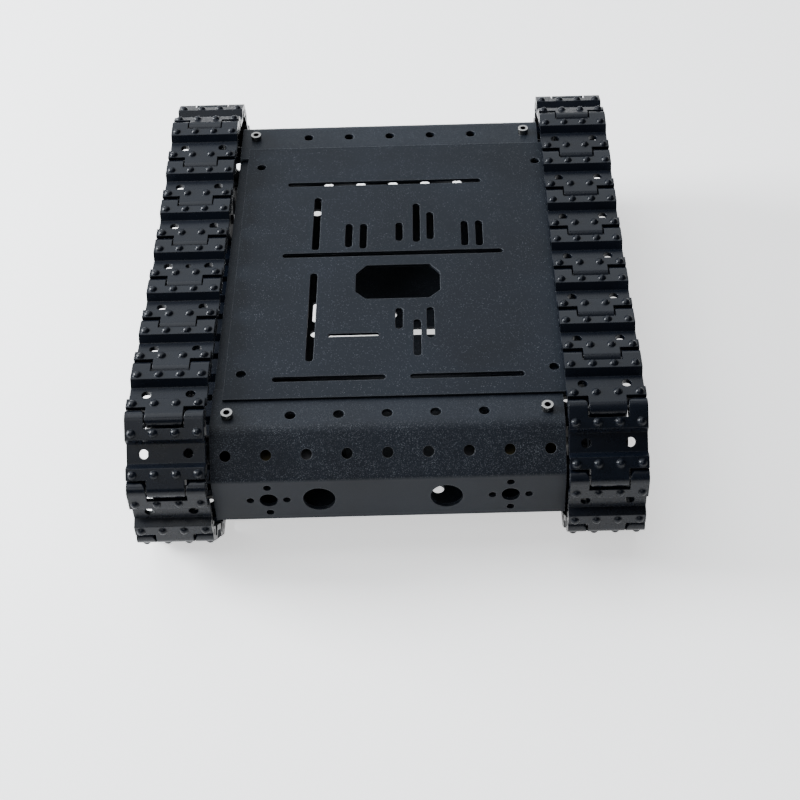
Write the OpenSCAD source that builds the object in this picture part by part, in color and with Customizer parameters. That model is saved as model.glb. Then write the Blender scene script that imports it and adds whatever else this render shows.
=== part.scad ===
// Tracked tank chassis: bent sheet body, two gearmotors, four wheels and two plate-link tracks.
// Millimetres, +Z up, front towards -Y. The origin is on the ground, midway across the tracks
// and midway along them.

/* [Body] */
// Half width of the body over the side plates
body_half_w = 82; // [70:0.5:95]
// Body length between the upright faces of the covers
body_length = 267.8; // [200:0.1:320]
// Depth of the body, from the strip's top face to the underside
body_depth = 43.9; // [36:0.1:60]
// Sheet thickness of the covers and the side plates
sheet_t = 2; // [1.5:0.1:3]
// Thickness of the bottom plate
floor_t = 1.5; // [1:0.1:2.4]
// Distance of a cover's upright face in front of its row of strip holes
face_y = 25; // [20:0.5:32]
// Distance from the row of strip holes to the start of the slope
slope_y = 7.4; // [5:0.1:10]
// Width of the cover's flat flange behind its row of holes
flange_back = 18; // [14:0.5:19]
// How much further the rear cover's flat reaches past its row of holes
rear_extra = 2.8; // [0:0.1:4]

/* [Cover holes] */
// Pitch of the five strip holes
strip_pitch = 22.5; // [20:0.1:25]
// Diameter of the strip and slope holes
row_hole_d = 5.2; // [4:0.1:6]
// Pitch of the nine slope holes
slope_pitch = 18.75; // [16:0.05:20]
// Half distance between the cover screws
screw_x = 74.2; // [68:0.1:78]
// Half distance between the two gearmotor patterns of the face
pattern_x = 56.4; // [50:0.1:60]
// Height of the face holes' centre line below the strip's top face
pattern_drop = 30.8; // [28:0.1:34]
// Gearmotor bolt circle
motor_pcd = 17; // [16:0.1:18]
// Gearmotor boss hole
motor_boss_hole = 8.6; // [7.2:0.1:9.5]
// Gearmotor bolt hole
motor_bolt_hole = 3.7; // [3.2:0.1:4]
// Diameter of the two large face holes
lamp_hole_d = 15.2; // [12:0.1:18]
// Half distance between the large face holes
lamp_x = 29.7; // [26:0.1:34]
// Sideways offset of the pair of large holes
lamp_shift = -3.1; // [-5:0.1:5]

/* [Deck] */
// Deck thickness
deck_t = 1.5; // [1:0.1:2.5]
// Deck half width
deck_half_w = 81.9; // [76:0.1:82]
// Sideways offset of the loose deck
deck_shift = 4.8; // [-4.8:0.1:4.8]
// Front edge of the deck behind the front row of holes
deck_y0 = 9.7; // [6:0.1:12]
// Rear edge of the deck behind the front row of holes
deck_y1 = 203.6; // [200:0.1:206]
// Deck corner hole diameter
deck_hole_d = 4.9; // [4:0.1:5.5]

/* [Track] */
// Distance of a track's centre line from the middle
track_x = 100.8; // [96:0.1:110]
// Link pitch, pin to pin
link_pitch = 31.5; // [28:0.1:34]
// Link width
link_w = 36; // [30:0.5:44]
// Link plate thickness
link_t = 2; // [1.5:0.1:2.5]
// Height of a pad's face above the pin line
pad_h = 4.2; // [3.8:0.1:5]
// Depth of the valley below the pads
valley_h = 4; // [3:0.1:4.2]
// Across distance between neighbouring studs
stud_pitch = 10; // [9:0.1:11]
// Stud dome diameter
stud_d = 4.2; // [3:0.1:4.4]
// Stud dome height
stud_h = 1.5; // [0.8:0.1:1.6]
// Sag of the upper run
run_sag = 4; // [0:0.1:4.4]

/* [Wheels] */
// Drive axle behind the front row of holes
drive_y = 6.85; // [4:0.05:14]
// Drive axle below the strip's top face
drive_drop = 29.4; // [26:0.1:32]
// Tooth tip radius of the drive sprocket
tooth_r = 35.3; // [34:0.1:35.4]
// Rim radius of the idler wheel
idler_r = 32.8; // [30:0.1:32.9]
// Wheel width over its two plates
wheel_w = 17.5; // [14:0.5:22]
// Angle one link takes round the idler
idler_step = 47.8; // [46:0.1:48.5]

/* [Hidden] */
$fn = 48;
row_gap = body_length - 2 * face_y - rear_extra;
apothem = link_pitch / 2 / tan(22.5);
pin_r_drive = link_pitch / 2 / sin(22.5);
pin_r_idler = link_pitch / 2 / sin(idler_step / 2);
idler_over = (4 * idler_step - 180) / 2;
axle_z = apothem + pad_h + stud_h;
top_z = axle_z + drive_drop;
front_top_z = axle_z + apothem;
low_pin_z = axle_z - apothem;
rear_top_z = low_pin_z + 2 * pin_r_idler * cos(idler_over);
idler_z = (rear_top_z + low_pin_z) / 2;
first_pin_y = drive_y + link_pitch / 2;
last_pin_y = first_pin_y + 6 * link_pitch;
idler_y = last_pin_y + pin_r_idler * sin(idler_over);
mid_y = 111.45;
web_in = body_half_w - sheet_t;
floor_top = -body_depth + floor_t;
wheel_in = track_x - wheel_w / 2;
wheel_out = track_x + wheel_w / 2;
valley_t = link_t + 0.5;
knuckle_low = 2.6;
stud_sphere = (stud_d * stud_d / 4 + stud_h * stud_h) / (2 * stud_h);
steel_dark = [0.13, 0.14, 0.16];
coat_black = [0.1, 0.1, 0.11];
nickel = [0.75, 0.76, 0.78];
alu = [0.7, 0.71, 0.73];

// Body frame: x across, y behind the front row of strip holes, z from the strip's top face.
module in_body() {
    translate([0, -mid_y, top_z]) children();
}

// Wheel frame of one side: x is the distance from the middle of the object.
module in_wheel(side, y, z) {
    translate([0, y - mid_y, z]) mirror([side < 0 ? 1 : 0, 0, 0]) children();
}

module x_cyl(x0, x1, r) {
    translate([x0, 0, 0]) rotate([0, 90, 0]) cylinder(r = r, h = x1 - x0);
}

bend1 = 8;
bend2 = 3;
// Bend centres in the y-z plane, for a flat that is e longer.
function b1c(e) = [-slope_y - e + bend1 * tan(22.5), -bend1];
function b2c(e) = [-face_y - e + bend2, -(face_y - slope_y) - bend2 * tan(22.5)];

// Points on an arc in the y-z plane round c, from angle a0 to angle a1.
function arc(c, r, a0, a1, n) = [for (i = [0 : n]) let (a = a0 + (a1 - a0) * i / n)
    c + r * [cos(a), sin(a)]];

module cover_profile(e) {
    polygon(concat(
        [[flange_back, 0]],
        arc(b1c(e), bend1, 90, 135, 12),
        arc(b2c(e), bend2, 135, 180, 8),
        [[-face_y - e, -body_depth], [-face_y - e + sheet_t, -body_depth]],
        arc(b2c(e), bend2 - sheet_t, 180, 135, 8),
        arc(b1c(e), bend1 - sheet_t, 135, 90, 12),
        [[flange_back, -sheet_t]]));
}

module cover_solid(e) {
    difference() {
        translate([-body_half_w, 0, 0]) rotate([90, 0, 90])
            linear_extrude(height = 2 * body_half_w) cover_profile(e);
        for (k = [-2 : 2])
            translate([k * strip_pitch, 0, -5]) cylinder(d = row_hole_d, h = 10);
        for (k = [-4 : 4])
            translate([k * slope_pitch, -slope_y - e - 9.1, -9.1]) rotate([45, 0, 0])
                translate([0, 0, -5]) cylinder(d = row_hole_d, h = 10);
        for (s = [-1, 1]) {
            translate([s * screw_x, 0, -5]) cylinder(d = 3.4, h = 10);
            translate([s * pattern_x, -face_y - e + 5, -pattern_drop]) rotate([90, 0, 0]) {
                cylinder(d = motor_boss_hole, h = 10);
                for (a = [0 : 90 : 270])
                    rotate([0, 0, a]) translate([motor_pcd / 2, 0, 0]) cylinder(d = motor_bolt_hole, h = 10);
            }
            translate([lamp_shift + s * lamp_x, -face_y - e + 5, -pattern_drop]) rotate([90, 0, 0])
                cylinder(d = lamp_hole_d, h = 10);
        }
    }
}

module front_cover() {
    color(coat_black) in_body() cover_solid(0);
}

module rear_cover() {
    color(coat_black) in_body() translate([0, row_gap, 0]) rotate([0, 0, 180])
        cover_solid(rear_extra);
}

// Slot with round ends from point a to point b.
module slot(a, b, w) {
    d = b - a;
    len = norm(d);
    translate([a[0], a[1], -5]) cylinder(d = w, h = 10);
    translate([b[0], b[1], -5]) cylinder(d = w, h = 10);
    translate([a[0], a[1], -5]) rotate([0, 0, atan2(d[1], d[0])])
        translate([0, -w / 2, 0]) cube([len, w, 10]);
}

// Deck cuts are placed from the deck's own centre line. Each slot: x0, y0, x1, y1, width.
deck_slots = [
    [-57.4, 170.8, 42.8, 170.8, 3.4],
    [-57.4, 112.2, 52.1, 112.2, 3.4],
    [-57.7, 22.2, -7.2, 22.2, 3.4],
    [7.7, 22.2, 58.5, 22.2, 3.4],
    [-32.6, 51.8, -10.1, 51.8, 2.4],
    [-42.4, 117.9, -42.4, 157.3, 3.8],
    [-42.3, 35.8, -42.3, 96.2, 3.8],
    [-25.4, 119.6, -25.4, 134.9, 3.8],
    [-17.9, 118.2, -17.9, 134.6, 3.8],
    [0.6, 123.7, 0.6, 134.9, 3.8],
    [9.6, 122.5, 9.6, 150.4, 3.8],
    [16.7, 124.4, 16.7, 142.9, 3.8],
    [34.5, 118.7, 34.5, 135.0, 3.8],
    [42.0, 118.3, 42.0, 135.1, 3.8],
    [0.7, 57.2, 0.7, 68.5, 3.8],
    [9.6, 38.0, 9.6, 60.0, 3.8],
    [16.1, 50.3, 16.1, 68.6, 3.8]
];

module top_deck() {
    color(coat_black) in_body() translate([deck_shift, 0, 0]) difference() {
        translate([-deck_half_w, deck_y0, 0]) cube([2 * deck_half_w, deck_y1 - deck_y0, deck_t]);
        translate([0, 90.4, -1]) linear_extrude(height = 6)
            polygon([[-15.8, 12.8], [16.2, 12.8], [21.2, 6.2], [21.2, -7.2], [15.6, -12.8], [-15.8, -12.8],
                [-21.2, -7.2], [-21.2, 6.2]]);
        for (s = deck_slots)
            slot([s[0], s[1]], [s[2], s[3]], s[4]);
        for (x = [-74.3, 74.3], y = [26.4, 186.8])
            translate([x, y, -1]) cylinder(d = deck_hole_d, h = 6);
    }
}

module web_outline() {
    g = sheet_t;
    k = g * tan(22.5);
    rear = row_gap + rear_extra;
    polygon([[-face_y + g, -body_depth + floor_t], [-face_y + g, -(face_y - slope_y) - k], [-slope_y + k, -g],
        [rear + slope_y - k, -g], [rear + face_y - g, -(face_y - slope_y) - k],
        [rear + face_y - g, -body_depth + floor_t]]);
}

// Right-hand side plate in the body frame, web outwards, flanges inwards.
module side_plate() {
    difference() {
        union() {
            translate([web_in, 0, 0]) rotate([90, 0, 90]) linear_extrude(height = sheet_t) web_outline();
            translate([web_in - 14, -3, -2 * sheet_t]) cube([14.5, row_gap + 6, sheet_t]);
            translate([web_in - 14, 26, floor_top]) cube([14.5, row_gap - 52, sheet_t]);
        }
        for (y = [0, row_gap])
            translate([screw_x, y, -10]) cylinder(d = 3.4, h = 10);
        for (y = [26.4, 186.8])
            translate([74.3, y, -10]) cylinder(d = 3.4, h = 10);
        for (y = [40, 85, 130, 175])
            translate([74, y, floor_top - 1]) cylinder(d = 3.4, h = 6);
        translate([0, drive_y, -drive_drop]) {
            x_cyl(web_in - 1, body_half_w + 1, motor_boss_hole / 2);
            for (a = [0 : 90 : 270])
                rotate([a, 0, 0]) translate([0, motor_pcd / 2, 0])
                    x_cyl(web_in - 1, body_half_w + 1, motor_bolt_hole / 2);
        }
        translate([0, idler_y - 4, idler_z - top_z]) x_cyl(web_in - 1, body_half_w + 1, 2.6);
        translate([0, idler_y + 4, idler_z - top_z]) x_cyl(web_in - 1, body_half_w + 1, 2.6);
        translate([web_in - 1, idler_y - 4, idler_z - top_z - 2.6]) cube([sheet_t + 2, 8, 5.2]);
    }
}

module side_plate_right() {
    color(coat_black) in_body() side_plate();
}

module side_plate_left() {
    color(coat_black) in_body() mirror([1, 0, 0]) side_plate();
}

// Square-cornered opening with small round corners, from corner a to corner b.
module window(a, b, r) {
    for (x = [a[0] + r, b[0] - r], y = [a[1] + r, b[1] - r])
        translate([x, y, -5]) cylinder(r = r, h = 10);
    translate([a[0] + r, a[1], -5]) cube([b[0] - a[0] - 2 * r, b[1] - a[1], 10]);
    translate([a[0], a[1] + r, -5]) cube([b[0] - a[0], b[1] - a[1] - 2 * r, 10]);
}

module bottom_plate() {
    color(coat_black) in_body() translate([0, 0, -body_depth]) difference() {
        translate([-body_half_w, -face_y + sheet_t, 0])
            cube([2 * body_half_w, body_length - 2 * sheet_t, floor_t]);
        for (s = [-1, 1], y = [40, 85, 130, 175])
            translate([s * 74, y, -1]) cylinder(d = 3.4, h = 4);
        for (k = [-2 : 2])
            translate([k * 18.6, 227.1, -1]) cylinder(d = 5.6, h = 4);
        slot([-40.2, 100.4], [40.2, 100.4], 5.5);
        window([-42.3, 109.6], [-22.3, 125.3], 1.5);
        translate([-1, 113.9, -1]) cylinder(d = 7.3, h = 4);
        translate([22.6, -10.1, -1]) cylinder(d = 5.7, h = 4);
        translate([-43, 201.6, -1]) cylinder(d = 6, h = 4);
    }
}

// Socket-head cap screw standing on z = 0, shank downwards.
module cap_screw(d, len, head_d, head_h, key) {
    difference() {
        union() {
            cylinder(d = head_d, h = head_h);
            translate([0, 0, -len]) cylinder(d = d, h = len + 0.5);
        }
        translate([0, 0, head_h * 0.45]) cylinder(d = key / cos(30), h = head_h, $fn = 6);
    }
}

module hex_nut(af, h, d) {
    difference() {
        cylinder(d = af / cos(30), h = h, $fn = 6);
        translate([0, 0, -1]) cylinder(d = d, h = h + 2);
    }
}

module cover_screws() {
    color(nickel) in_body() for (x = [-screw_x, screw_x], y = [0, row_gap])
        translate([x, y, 0]) cap_screw(3, 8, 5.5, 3, 2.5);
}

module cover_nuts() {
    color(nickel) in_body() for (x = [-screw_x, screw_x], y = [0, row_gap])
        translate([x, y, -2 * sheet_t - 2.4]) hex_nut(5.5, 2.4, 3.1);
}

module floor_screws() {
    color(nickel) in_body() for (x = [-74, 74], y = [40, 85, 130, 175])
        translate([x, y, -body_depth]) rotate([180, 0, 0]) cap_screw(3, 8, 5.5, 1.8, 2);
}

module floor_nuts() {
    color(nickel) in_body() for (x = [-74, 74], y = [40, 85, 130, 175])
        translate([x, y, floor_top + sheet_t]) hex_nut(5.5, 2.4, 3.1);
}

module gearbox(side) {
    in_wheel(side, drive_y, axle_z) difference() {
        union() {
            x_cyl(55, web_in, 12.5);
            x_cyl(web_in - 0.5, body_half_w + 0.5, 3.5);
        }
        x_cyl(76, body_half_w + 1, 2.05);
        for (s = [-1, 1])
            translate([0, 0, s * motor_pcd / 2]) x_cyl(web_in - 5, web_in + 1, 1.5);
    }
}

module gearbox_left() {
    color([0.55, 0.5, 0.3]) gearbox(-1);
}

module gearbox_right() {
    color([0.55, 0.5, 0.3]) gearbox(1);
}

module motor_can(side) {
    in_wheel(side, drive_y, axle_z) {
        difference() {
            x_cyl(24, 55, 12.2);
            for (s = [-1, 1])
                translate([22, s * 5.2, -4]) cube([3.2, 1.6, 8]);
        }
        x_cyl(21.5, 24.5, 5);
    }
}

module motor_can_left() {
    color(alu) motor_can(-1);
}

module motor_can_right() {
    color(alu) motor_can(1);
}

module motor_screws() {
    color(nickel) for (side = [-1, 1], s = [-1, 1])
        in_wheel(side, drive_y, axle_z) translate([body_half_w, 0, s * motor_pcd / 2]) rotate([0, 90, 0])
            cap_screw(2.9, 6, 5.4, 1.8, 2);
}

module idler_axle_bolts() {
    color(nickel) for (side = [-1, 1])
        in_wheel(side, idler_y, idler_z) translate([wheel_out + 0.4, 0, 0]) rotate([0, 90, 0])
            cap_screw(5, 38, 8.5, 4, 4);
}

module idler_spacers() {
    color(alu) for (side = [-1, 1])
        in_wheel(side, idler_y, idler_z) difference() {
            x_cyl(body_half_w, wheel_in - 0.4, 4);
            x_cyl(body_half_w - 1, wheel_in + 1, 2.6);
        }
}

module idler_axle_nuts() {
    color(nickel) for (side = [-1, 1])
        in_wheel(side, idler_y, idler_z) translate([web_in - 4.7, 0, 0]) rotate([0, 90, 0])
            hex_nut(8, 4.7, 5.1);
}

// One link. Local x runs from its rear pin to its front pin, z is outwards, y is across.
module stud(x, y) {
    translate([x, y, pad_h]) intersection() {
        translate([0, 0, stud_h - stud_sphere]) sphere(r = stud_sphere);
        translate([0, 0, -0.4]) cylinder(r = stud_d, h = 4);
    }
}

module link_body() {
    u = link_t * tan(31.7);
    v = pad_h - valley_h;
    w = v - valley_t;
    translate([0, link_w / 2, 0]) rotate([90, 0, 0]) linear_extrude(height = link_w)
        polygon([[4.1, pad_h], [9.2, pad_h], [11.2, v], [20.1, v], [22.1, pad_h], [27.5, pad_h],
            [27.5, -knuckle_low], [25.5, -knuckle_low], [25.5, pad_h - link_t],
            [22.1 + u, pad_h - link_t], [20.1 + u, w], [11.2 - u, w],
            [9.2 - u, pad_h - link_t], [4.1, pad_h - link_t]]);
}

// Rolled hinge knuckle of width w, flat underneath, with a straight tab of length tab.
module knuckle(w, tab) {
    difference() {
        union() {
            rotate([90, 0, 0]) cylinder(r = pad_h, h = w);
            translate([tab < 0 ? tab : 0, -w, pad_h - link_t]) cube([abs(tab), w, link_t]);
        }
        translate([-10, -w - 1, -pad_h - 1]) cube([20, w + 2, pad_h + 1 - knuckle_low]);
    }
}

// Rounds off one upright corner of a knuckle at the origin, towards -x and -y.
module corner_cut(r) {
    translate([-1, -1, -8]) difference() {
        cube([r + 1, r + 1, 16]);
        translate([r + 1, r + 1, -1]) cylinder(r = r, h = 18);
    }
}

module link(extra_hole) {
    tongue = 17.3;
    lug = 8.65;
    difference() {
        union() {
            difference() {
                link_body();
                for (s = [0, 1]) mirror([0, s, 0])
                    translate([link_pitch, link_w, 0]) rotate([90, 0, 0])
                        cylinder(r = pad_h + 0.4, h = link_w - tongue / 2);
            }
            translate([link_pitch, tongue / 2, 0]) difference() {
                union() {
                    knuckle(tongue, 27.4 - link_pitch);
                    translate([-5.9, -tongue, -knuckle_low]) cube([5.9, tongue, knuckle_low + pad_h]);
                }
                translate([pad_h, 0, 0]) rotate([0, 0, 180]) corner_cut(1.3);
                translate([pad_h, -tongue, 0]) mirror([1, 0, 0]) corner_cut(1.3);
            }
            for (s = [0, 1]) mirror([0, s, 0]) difference() {
                translate([0, link_w / 2, 0]) knuckle(lug, 4.6);
                translate([-pad_h, link_w / 2 - lug, 0]) corner_cut(2.2);
            }
            for (x = [6.3, 25.2], k = [-1.5, -0.5, 0.5, 1.5])
                stud(x, k * stud_pitch);
        }
        for (x = [0, link_pitch])
            translate([x, link_w, 0]) rotate([90, 0, 0]) cylinder(r = 1.45, h = 2 * link_w);
        for (y = [-10.2, 10.2])
            translate([link_pitch / 2, y, -10]) cylinder(d = 4.5, h = 20);
        if (extra_hole)
            translate([link_pitch / 2, 0, -10]) cylinder(d = 3, h = 20);
    }
}

// Pin positions in the y-z plane, counted from the rear end of the upper run round the front.
function upper_pin(i) = let (t = i / 6)
    [last_pin_y - i * link_pitch, rear_top_z + (front_top_z - rear_top_z) * t - 4 * run_sag * t * (1 - t)];
function front_pin(i) = let (a = 22.5 + 45 * (i - 1))
    [drive_y - pin_r_drive * sin(a), axle_z + pin_r_drive * cos(a)];
function lower_pin(i) = [first_pin_y + i * link_pitch, low_pin_z];
function rear_pin(i) = let (a = 180 + idler_over - idler_step * i)
    [idler_y + pin_r_idler * sin(a), idler_z + pin_r_idler * cos(a)];
function loop_pin(i) = i <= 6 ? upper_pin(i) : i <= 10 ? front_pin(i - 6) : i <= 17 ? lower_pin(i - 11)
    : i <= 20 ? rear_pin(i - 17) : upper_pin(0);

module track_links(side) {
    translate([side * track_x, -mid_y, 0]) for (i = [0 : 20]) {
        p = loop_pin(i);
        q = loop_pin(i + 1);
        translate([0, p[0], p[1]]) rotate([atan2(p[1] - q[1], p[0] - q[0]), 0, 0])
            rotate([0, 0, -90]) link(side < 0 && i == 3);
    }
}

module track_pins(side) {
    translate([side * track_x, -mid_y, 0]) for (i = [0 : 20]) {
        p = loop_pin(i);
        translate([-link_w / 2 + 0.2, p[0], p[1]]) x_cyl(0, link_w - 0.4, 1.3);
    }
}

module track_links_left() {
    color(steel_dark) track_links(-1);
}

module track_links_right() {
    color(steel_dark) track_links(1);
}

module track_pins_left() {
    color(nickel) track_pins(-1);
}

module track_pins_right() {
    color(nickel) track_pins(1);
}

module wheel_plate_holes() {
    for (a = [45 : 90 : 315])
        rotate([a, 0, 0]) translate([0, 22, 0]) x_cyl(0, 200, 1.6);
    for (a = [0 : 90 : 270])
        rotate([a, 0, 0]) translate([0, 19.5, 0]) x_cyl(0, 200, 6.5);
}

module sprocket_plate(x0) {
    translate([x0, 0, 0]) rotate([90, 0, 90]) linear_extrude(height = 2) union() {
        circle(r = 30.5);
        for (a = [0 : 45 : 315])
            rotate(a) polygon([[28, -5.4], [tooth_r - 0.1, -2.4], [tooth_r - 0.1, 2.4], [28, 5.4]]);
    }
}

module sprocket_plates(side) {
    in_wheel(side, drive_y, axle_z) difference() {
        union() {
            sprocket_plate(wheel_in);
            sprocket_plate(wheel_out - 2);
        }
        x_cyl(0, 200, 7.05);
        wheel_plate_holes();
    }
}

module wheel_posts(side, y, z) {
    in_wheel(side, y, z) for (a = [45 : 90 : 315])
        rotate([a, 0, 0]) translate([0, 22, 0]) difference() {
            x_cyl(wheel_in + 2, wheel_out - 2, 3);
            x_cyl(0, 200, 1.55);
        }
}

module wheel_screws(side, y, z) {
    in_wheel(side, y, z) for (a = [45 : 90 : 315])
        rotate([a, 0, 0]) translate([0, 22, 0]) {
            translate([wheel_out, 0, 0]) rotate([0, 90, 0]) cap_screw(3, 8, 5.5, 1.8, 2);
            translate([wheel_in, 0, 0]) rotate([0, -90, 0]) cap_screw(3, 8, 5.5, 1.8, 2);
        }
}

module drive_hub(side) {
    in_wheel(side, drive_y, axle_z) difference() {
        union() {
            x_cyl(85, wheel_out + 1.2, 7);
            x_cyl(wheel_in + 2, wheel_in + 5, 12.5);
            x_cyl(wheel_out - 5, wheel_out - 2, 12.5);
        }
        x_cyl(84, 112, 2);
        translate([87.6, 0, 1]) cylinder(r = 1.5, h = 9);
    }
}

module drive_shaft(side) {
    in_wheel(side, drive_y, axle_z) x_cyl(76.4, 106, 2);
}

module sprocket_plates_left() {
    color(steel_dark) sprocket_plates(-1);
}

module sprocket_plates_right() {
    color(steel_dark) sprocket_plates(1);
}

module sprocket_posts_left() {
    color(alu) wheel_posts(-1, drive_y, axle_z);
}

module sprocket_posts_right() {
    color(alu) wheel_posts(1, drive_y, axle_z);
}

module sprocket_screws_left() {
    color(nickel) wheel_screws(-1, drive_y, axle_z);
}

module sprocket_screws_right() {
    color(nickel) wheel_screws(1, drive_y, axle_z);
}

module drive_hub_left() {
    color(alu) drive_hub(-1);
}

module drive_hub_right() {
    color(alu) drive_hub(1);
}

module drive_shaft_left() {
    color(nickel) drive_shaft(-1);
}

module drive_shaft_right() {
    color(nickel) drive_shaft(1);
}

module idler_plates(side) {
    in_wheel(side, idler_y, idler_z) difference() {
        union() {
            x_cyl(wheel_in, wheel_in + 2, idler_r);
            x_cyl(wheel_out - 2, wheel_out, idler_r);
        }
        x_cyl(0, 200, 8.05);
        wheel_plate_holes();
    }
}

module idler_hub(side) {
    in_wheel(side, idler_y, idler_z) difference() {
        x_cyl(wheel_in + 2, wheel_out - 2, 11.5);
        x_cyl(0, wheel_in + 5.9, 8);
        x_cyl(wheel_out - 5.9, 200, 8);
        x_cyl(0, 200, 4);
    }
}

module idler_bearings(side) {
    in_wheel(side, idler_y, idler_z) for (x = [wheel_in + 0.9, wheel_out - 5.9]) difference() {
        x_cyl(x, x + 5, 8);
        x_cyl(x - 1, x + 6, 2.55);
    }
}

module idler_plates_left() {
    color(steel_dark) idler_plates(-1);
}

module idler_plates_right() {
    color(steel_dark) idler_plates(1);
}

module idler_posts_left() {
    color(alu) wheel_posts(-1, idler_y, idler_z);
}

module idler_posts_right() {
    color(alu) wheel_posts(1, idler_y, idler_z);
}

module idler_screws_left() {
    color(nickel) wheel_screws(-1, idler_y, idler_z);
}

module idler_screws_right() {
    color(nickel) wheel_screws(1, idler_y, idler_z);
}

module idler_hub_left() {
    color(alu) idler_hub(-1);
}

module idler_hub_right() {
    color(alu) idler_hub(1);
}

module idler_bearings_left() {
    color(nickel) idler_bearings(-1);
}

module idler_bearings_right() {
    color(nickel) idler_bearings(1);
}

top_deck();
front_cover();
rear_cover();
side_plate_left();
side_plate_right();
bottom_plate();
cover_screws();
cover_nuts();
floor_screws();
floor_nuts();
gearbox_left();
gearbox_right();
motor_can_left();
motor_can_right();
motor_screws();
idler_axle_bolts();
idler_spacers();
idler_axle_nuts();
track_links_left();
track_links_right();
track_pins_left();
track_pins_right();
sprocket_plates_left();
sprocket_plates_right();
sprocket_posts_left();
sprocket_posts_right();
sprocket_screws_left();
sprocket_screws_right();
drive_hub_left();
drive_hub_right();
drive_shaft_left();
drive_shaft_right();
idler_plates_left();
idler_plates_right();
idler_posts_left();
idler_posts_right();
idler_screws_left();
idler_screws_right();
idler_hub_left();
idler_hub_right();
idler_bearings_left();
idler_bearings_right();
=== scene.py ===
import math

import bpy
from mathutils import Matrix, Vector


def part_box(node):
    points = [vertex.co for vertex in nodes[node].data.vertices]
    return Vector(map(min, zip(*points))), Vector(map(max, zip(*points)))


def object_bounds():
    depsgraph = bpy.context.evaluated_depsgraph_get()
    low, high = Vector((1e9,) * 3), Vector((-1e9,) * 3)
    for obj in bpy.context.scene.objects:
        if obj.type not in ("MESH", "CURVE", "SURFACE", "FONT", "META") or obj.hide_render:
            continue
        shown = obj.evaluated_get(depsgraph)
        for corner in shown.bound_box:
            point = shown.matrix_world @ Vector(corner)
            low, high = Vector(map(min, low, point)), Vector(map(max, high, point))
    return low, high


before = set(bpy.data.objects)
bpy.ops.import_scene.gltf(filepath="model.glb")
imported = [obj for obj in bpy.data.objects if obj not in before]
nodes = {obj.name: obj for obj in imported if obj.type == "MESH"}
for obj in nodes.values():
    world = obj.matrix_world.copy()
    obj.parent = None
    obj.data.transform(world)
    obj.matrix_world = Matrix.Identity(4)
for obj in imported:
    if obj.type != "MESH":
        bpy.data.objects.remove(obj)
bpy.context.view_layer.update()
scene = bpy.context.scene

# Lengths are in metres and angles in degrees.
GRAIN_SCALE = 1500.0          # pebbles of the powder coat, cells a metre
PAINTED_GLINT_SCALE = 2800.0          # painted glints of the powder coat: lighter specks in its colour
# Colour of the painted glints: lighter specks that stand in for reflections on the coat's grains.
PAINTED_GLINT_COLOUR = (0.17, 0.185, 0.21)
# Lighter edge colour: partly bare cut edge, partly painted highlight on hole rims and sheet edges.
EDGE_BARE_AND_PAINTED_HIGHLIGHT = (0.16, 0.17, 0.185)
RUBBED_COLOUR = (0.10, 0.11, 0.13)
# Painted shade in the screws' drive socket recesses.
SOCKET_PAINTED_SHADE = (0.012, 0.012, 0.014)
EDGE_BAND_WIDTH = 0.0005            # width of the lighter band at a sheet's edge: partly bare cut edge, partly painted highlight on the rims
COAT_ROUNDING = 0.0004
TRACK_ROUNDING = 0.00045      # pressed plate has softer edges
METAL_ROUNDING = 0.0002
SCREW_HEAD_R = 0.00275        # M3 socket head
SOCKET_R = 0.00158
TONE_LOW, TONE_HIGH = 0.80, 1.25   # how far a coat's colour wanders

FLOOR_SIZE = 60
FLOOR_GLOW = 1.00
WORLD_LIGHT = 0.12

# name, place, size, watts, colour; each one faces AIM
AIM = (0, 0, 0.05)
LIGHTS = (
    ("overhead", (-0.35, 0.10, 1.35), (1.2, 1.0), 16.0, (0.93, 0.965, 1.0)),
    ("back", (-0.30, 1.15, 1.05), (2.2, 1.2), 19.0, (0.90, 0.95, 1.0)),
    ("left", (-1.10, 0.16, 0.55), (0.55, 0.55), 46.0, (0.93, 0.965, 1.0)),
    ("front", (-0.50, -0.95, 1.25), (0.8, 0.5), 5.0, (0.95, 0.975, 1.0)),
)

# The camera was solved from the hole rows of the deck and covers.
CAMERA_PLACE = (0.0261, -0.6281, 0.6053)
CAMERA_YAW, CAMERA_PITCH, CAMERA_ROLL = -0.19, 45.36, 1.60
LENS, SENSOR = 72.1, 36
SHIFT_X, SHIFT_Y = -0.0494, -0.0028
CLIP_START = 0.01


# ---------------------------------------------------------------- materials
def rgba(c):
    if isinstance(c, (int, float)):
        return (c, c, c, 1)
    return (*c, 1)


def spread(colour):
    """The darkest and lightest tone of a coat."""
    return tuple(c * TONE_LOW for c in colour), tuple(c * TONE_HIGH for c in colour)


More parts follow.
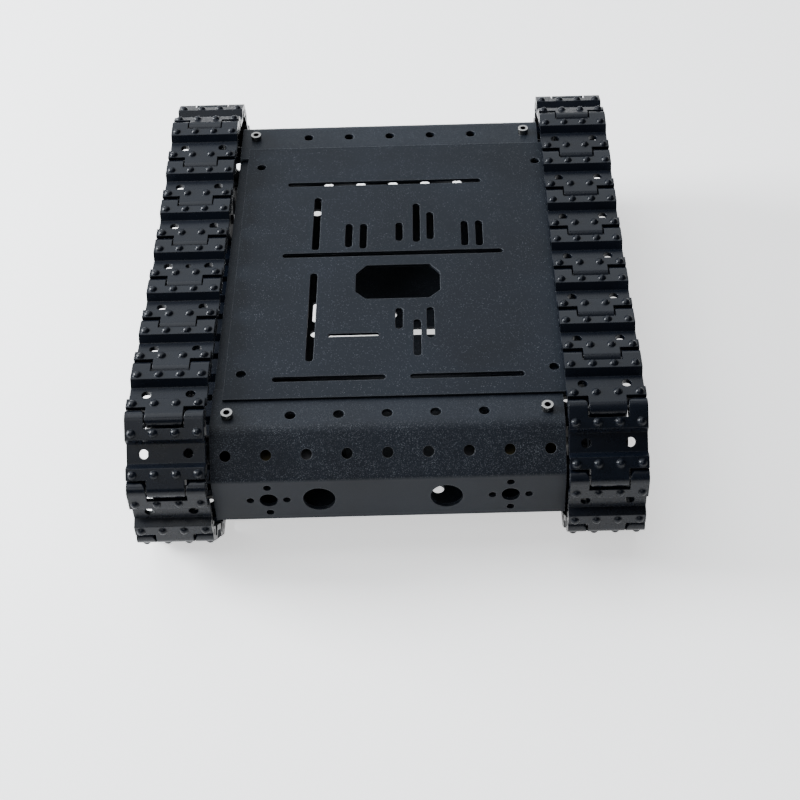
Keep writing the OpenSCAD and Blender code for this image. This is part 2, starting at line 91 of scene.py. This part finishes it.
class Tree:
    """A small helper that builds a node tree."""

    def __init__(self, name):
        self.mat = bpy.data.materials.new(name)
        self.mat.use_nodes = True
        self.nt = self.mat.node_tree
        self.nt.nodes.clear()
        out = self.new("ShaderNodeOutputMaterial")
        self.bsdf = self.new("ShaderNodeBsdfPrincipled")
        self.link(self.bsdf.outputs[0], out.inputs["Surface"])
        self.coord = self.new("ShaderNodeTexCoord").outputs["Object"]

    def new(self, kind, **props):
        n = self.nt.nodes.new(kind)
        for k, v in props.items():
            setattr(n, k, v)
        return n

    def link(self, a, b):
        self.nt.links.new(a, b)

    def feed(self, socket, v):
        """Put a number or colour on a socket, or link another node's output to it."""
        if isinstance(v, (int, float)):
            socket.default_value = v
        elif isinstance(v, tuple):
            socket.default_value = rgba(v)
        else:
            self.link(v, socket)

    def noise(self, scale, detail=3.0, rough=0.5):
        n = self.new("ShaderNodeTexNoise")
        n.inputs["Scale"].default_value = scale
        n.inputs["Detail"].default_value = detail
        n.inputs["Roughness"].default_value = rough
        self.link(self.coord, n.inputs["Vector"])
        return n.outputs["Fac"]

    def ramp(self, fac, stops):
        n = self.new("ShaderNodeValToRGB")
        e = n.color_ramp.elements
        e[0].position, e[0].color = stops[0][0], rgba(stops[0][1])
        e[1].position, e[1].color = stops[-1][0], rgba(stops[-1][1])
        for p, c in stops[1:-1]:
            m = e.new(p)
            m.color = rgba(c)
        self.link(fac, n.inputs["Fac"])
        return n.outputs["Color"]

    def math(self, op, a, b=0.5):
        n = self.new("ShaderNodeMath", operation=op)
        self.feed(n.inputs[0], a)
        self.feed(n.inputs[1], b)
        return n.outputs[0]

    def mix(self, fac, a, b):
        n = self.new("ShaderNodeMix", data_type="RGBA")
        for i, v in ((0, fac), (6, a), (7, b)):
            self.feed(n.inputs[i], v)
        return n.outputs[2]

    def bump(self, height, strength, distance, normal):
        n = self.new("ShaderNodeBump")
        n.inputs["Strength"].default_value = strength
        n.inputs["Distance"].default_value = distance
        self.link(height, n.inputs["Height"])
        self.link(normal, n.inputs["Normal"])
        return n.outputs[0]

    def round_edges(self, radius):
        n = self.new("ShaderNodeBevel")
        n.samples = 4
        n.inputs["Radius"].default_value = radius
        return n.outputs[0]

    def edge(self, radius):
        """1 on sharp edges, 0 away from them: how far the rounded normal leaves the flat one."""
        geo = self.new("ShaderNodeNewGeometry")
        dot = self.new("ShaderNodeVectorMath", operation="DOT_PRODUCT")
        self.link(self.round_edges(radius), dot.inputs[0])
        self.link(geo.outputs["True Normal"], dot.inputs[1])
        return self.ramp(self.math("SUBTRACT", 1.0, dot.outputs["Value"]), [(0.02, 0.0), (0.30, 1.0)])

    def set(self, socket, v):
        self.feed(self.bsdf.inputs[socket], v)


def powder_coat(name, base, roughness, level, deck=False):
    """Textured black powder coat: a pebbled film with painted glints, lighter specks in the base colour
    that stand in for reflections and are strongest where the sheet is bent and tilted. The deck has fewer
    and stronger painted glints than the covers."""
    t = Tree(name)
    cloud = t.noise(22.0, 4.0, 0.55)
    grain = t.noise(GRAIN_SCALE, 3.0, 0.65)
    dark, light = spread(base)
    tone = t.ramp(cloud, [(0.30, dark), (0.70, light)])
    # Painted glints: one random value a cell, of which only the brightest few show as lighter base colour.
    cells = t.new("ShaderNodeTexVoronoi")
    cells.inputs["Scale"].default_value = PAINTED_GLINT_SCALE
    t.link(t.coord, cells.inputs["Vector"])
    chance = t.new("ShaderNodeSeparateColor")
    t.link(cells.outputs["Color"], chance.inputs[0])
    patch = t.ramp(t.noise(90.0, 3.0, 0.6), [(0.35, 0.0), (0.70, 1.0)])
    few = t.ramp(chance.outputs[0], [(0.90 if deck else 0.55, 0.0), (1.0, 1.0)])
    dot = t.ramp(cells.outputs["Distance"], [(0.15, 1.0), (0.55, 0.0)])
    patchy = t.math("ADD", t.math("MULTIPLY", patch, 0.6), 0.4)
    speck_and_painted_glint = t.math("MULTIPLY", t.math("MULTIPLY", few, dot), patchy)
    # The painted glints follow how the face tilts: strong on the slope and its bends, weaker on the level
    # strips, absent on upright faces.
    geo = t.new("ShaderNodeNewGeometry")
    up = t.new("ShaderNodeSeparateXYZ")
    t.link(geo.outputs["True Normal"], up.inputs[0])
    if deck:
        stops = [(0.0, 0.06), (1.0, 1.0)]
    else:
        stops = [(0.05, 0.0), (0.50, 0.85), (0.71, 1.0), (0.93, 0.90), (1.0, 0.42)]
    painted_glint_amount = t.math("MULTIPLY", speck_and_painted_glint, t.ramp(up.outputs["Z"], stops))
    # Painted glints: lighter specks mixed into the coat's colour.
    coat = t.mix(painted_glint_amount, tone, PAINTED_GLINT_COLOUR)
    # Lighter band on the edges: partly bare cut edge, partly painted highlight.
    t.set("Base Color", t.mix(t.math("MULTIPLY", t.edge(EDGE_BAND_WIDTH), 0.62), coat, EDGE_BARE_AND_PAINTED_HIGHLIGHT))
    t.set("Roughness", t.math("ADD", t.math("MULTIPLY", grain, 0.20), roughness - 0.10))
    t.set("Specular IOR Level", level)
    pebbles = t.bump(grain, 0.22, 0.00010, t.round_edges(COAT_ROUNDING))
    t.set("Normal", t.bump(speck_and_painted_glint, 0.35, 0.00012, pebbles))
    return t.mat


def satin_coat(name, base, roughness, wear, level):
    """Satin blue-black finish on pressed plate: mottled, with rubbed stud tops and edges."""
    t = Tree(name)
    cloud = t.noise(48.0, 5.0, 0.6)
    fine = t.noise(1100.0, 3.0, 0.6)
    scuff = t.noise(260.0, 4.0, 0.7)
    dark, light = spread(base)
    tone = t.ramp(cloud, [(0.28, dark), (0.72, light)])
    rub = t.ramp(scuff, [(0.45, 0.2), (0.70, 1.0)])
    worn = t.math("MULTIPLY", t.math("MULTIPLY", t.edge(TRACK_ROUNDING), rub), wear)
    t.set("Base Color", t.mix(worn, tone, RUBBED_COLOUR))
    t.set("Roughness", t.math("ADD", t.math("MULTIPLY", scuff, 0.12), roughness - 0.06))
    t.set("Specular IOR Level", level)
    t.set("Normal", t.bump(fine, 0.05, 0.00005, t.round_edges(TRACK_ROUNDING)))
    return t.mat


def metal(name, base, roughness, brushed=0.3, painted_shade_sockets=None):
    """Plated or turned metal with fine tool marks and a light tarnish. The last argument, (centre x, centre
    y, half x, half y), gives the places of four drive socket recesses, which get painted shade."""
    t = Tree(name)
    marks = t.noise(1400.0, 2.0, 0.7)
    cloud = t.noise(120.0, 3.0, 0.5)
    tone = t.ramp(cloud, [(0.3, spread(base)[0]), (0.7, base)])
    if painted_shade_sockets:
        xyz = t.new("ShaderNodeSeparateXYZ")
        t.link(t.coord, xyz.inputs[0])
        offsets = []
        for axis in (0, 1):
            from_mid = t.math("ABSOLUTE", t.math("SUBTRACT", xyz.outputs[axis], painted_shade_sockets[axis]))
            offsets.append(t.math("SUBTRACT", from_mid, painted_shade_sockets[axis + 2]))
        squares = [t.math("MULTIPLY", d, d) for d in offsets]
        away = t.math("SQRT", t.math("ADD", *squares))
        # Painted shade: the drive socket recesses are darkened.
        tone = t.mix(t.math("LESS_THAN", away, SOCKET_R), tone, SOCKET_PAINTED_SHADE)
    t.set("Base Color", tone)
    t.set("Metallic", 1.0)
    t.set("Roughness", t.math("ADD", t.math("MULTIPLY", marks, 0.16), roughness - 0.08))
    t.set("Normal", t.bump(marks, brushed * 0.3, 0.00006, t.round_edges(METAL_ROUNDING)))
    return t.mat


deck_mat = powder_coat("deck_powder_coat", (0.0045, 0.0066, 0.0105), 0.50, 0.125, deck=True)
cover_mat = powder_coat("cover_powder_coat", (0.0055, 0.0078, 0.0122), 0.47, 0.16)
track_mat = satin_coat("track_satin", (0.0021, 0.0034, 0.0066), 0.28, 0.24, 0.19)
wheel_mat = satin_coat("wheel_satin", (0.0034, 0.0040, 0.0052), 0.52, 0.20, 0.07)
nickel_mat = metal("nickel_plate", (0.34, 0.335, 0.33), 0.30)
pin_mat = metal("pin_steel", (0.10, 0.10, 0.105), 0.36)
anodised_mat = metal("black_anodised", (0.020, 0.021, 0.024), 0.42, 0.6)
oxide_mat = metal("black_oxide_steel", (0.030, 0.030, 0.033), 0.38)
# Gearbox and motor can get colours far darker than their finish: painted shade for the inside of the body.
gear_mat = metal("yellow_passivated_steel", (0.050, 0.045, 0.027), 0.45)
can_mat = metal("motor_can_steel", (0.050, 0.051, 0.056), 0.45)
s_lo, s_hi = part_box("cover_screws")
s_mid = (s_lo + s_hi) / 2
screw_mat = metal("screw_nickel", (0.30, 0.295, 0.285), 0.24, 0.3, (
    s_mid.x, s_mid.y, (s_hi.x - s_lo.x) / 2 - SCREW_HEAD_R, (s_hi.y - s_lo.y) / 2 - SCREW_HEAD_R))

# How a node's name starts, and its material. Every other node is nickel plated.
WHICH = (
    ("cover_screws", screw_mat),
    ("top_deck", deck_mat),
    ("front_cover", cover_mat),
    ("rear_cover", cover_mat),
    ("side_plate", cover_mat),
    ("bottom_plate", cover_mat),
    ("track_links", track_mat),
    ("sprocket_plates", wheel_mat),
    ("idler_plates", wheel_mat),
    ("track_pins", pin_mat),
    ("gearbox", gear_mat),
    ("motor_can", can_mat),
    ("drive_hub", anodised_mat),
    ("idler_hub", anodised_mat),
    ("sprocket_posts", anodised_mat),
    ("idler_posts", anodised_mat),
    ("idler_spacers", anodised_mat),
    ("sprocket_screws", oxide_mat),
    ("idler_screws", oxide_mat),
    ("idler_axle", oxide_mat),
    ("floor_screws", oxide_mat),
    ("floor_nuts", oxide_mat),
)
for name, node in nodes.items():
    found = [mat for start, mat in WHICH if name.startswith(start)]
    node.data.materials.clear()
    node.data.materials.append(found[0] if found else nickel_mat)

# ---------------------------------------------------------------- floor and light
lo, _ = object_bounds()
bpy.ops.mesh.primitive_plane_add(size=FLOOR_SIZE, location=(0, 0, lo.z))
floor = bpy.context.object
floor.name = "floor"
paper = Tree("floor_paper")
paper_tones = [(0.3, (0.86, 0.855, 0.85)), (0.7, (0.88, 0.875, 0.87))]
paper.set("Base Color", paper.ramp(paper.noise(3.0, 2.0), paper_tones))
paper.set("Roughness", 0.9)
paper.set("Emission Color", (1.0, 1.0, 1.0))
paper.set("Emission Strength", FLOOR_GLOW)
floor.data.materials.append(paper.mat)

world = bpy.data.worlds.new("studio")
scene.world = world
world.use_nodes = True
background = world.node_tree.nodes["Background"]
background.inputs[0].default_value = (1.0, 1.0, 1.0, 1)
background.inputs[1].default_value = WORLD_LIGHT

for name, place, size, watts, colour in LIGHTS:
    lamp = bpy.data.lights.new(name, "AREA")
    lamp.shape = "RECTANGLE"
    lamp.size, lamp.size_y = size
    lamp.energy = watts
    lamp.color = colour
    holder = bpy.data.objects.new(name, lamp)
    scene.collection.objects.link(holder)
    holder.location = place
    holder.rotation_mode = "QUATERNION"
    holder.rotation_quaternion = (Vector(AIM) - Vector(place)).to_track_quat("-Z", "Y")

# ---------------------------------------------------------------- camera
cam_data = bpy.data.cameras.new("camera")
cam = bpy.data.objects.new("camera", cam_data)
scene.collection.objects.link(cam)
yaw, pitch, roll = (math.radians(a) for a in (CAMERA_YAW, CAMERA_PITCH, CAMERA_ROLL))
forward = Vector((math.sin(yaw) * math.cos(pitch), math.cos(yaw) * math.cos(pitch), -math.sin(pitch)))
level_right = Vector((math.cos(yaw), -math.sin(yaw), 0))
level_down = forward.cross(level_right)
right = math.cos(roll) * level_right + math.sin(roll) * level_down
down = -math.sin(roll) * level_right + math.cos(roll) * level_down
stand = Matrix((right, -down, -forward)).transposed().to_4x4()
stand.translation = Vector(CAMERA_PLACE)
cam.matrix_world = stand
cam_data.sensor_width = SENSOR
cam_data.lens = LENS
cam_data.shift_x = SHIFT_X
cam_data.shift_y = SHIFT_Y
cam_data.clip_start = CLIP_START
scene.camera = cam
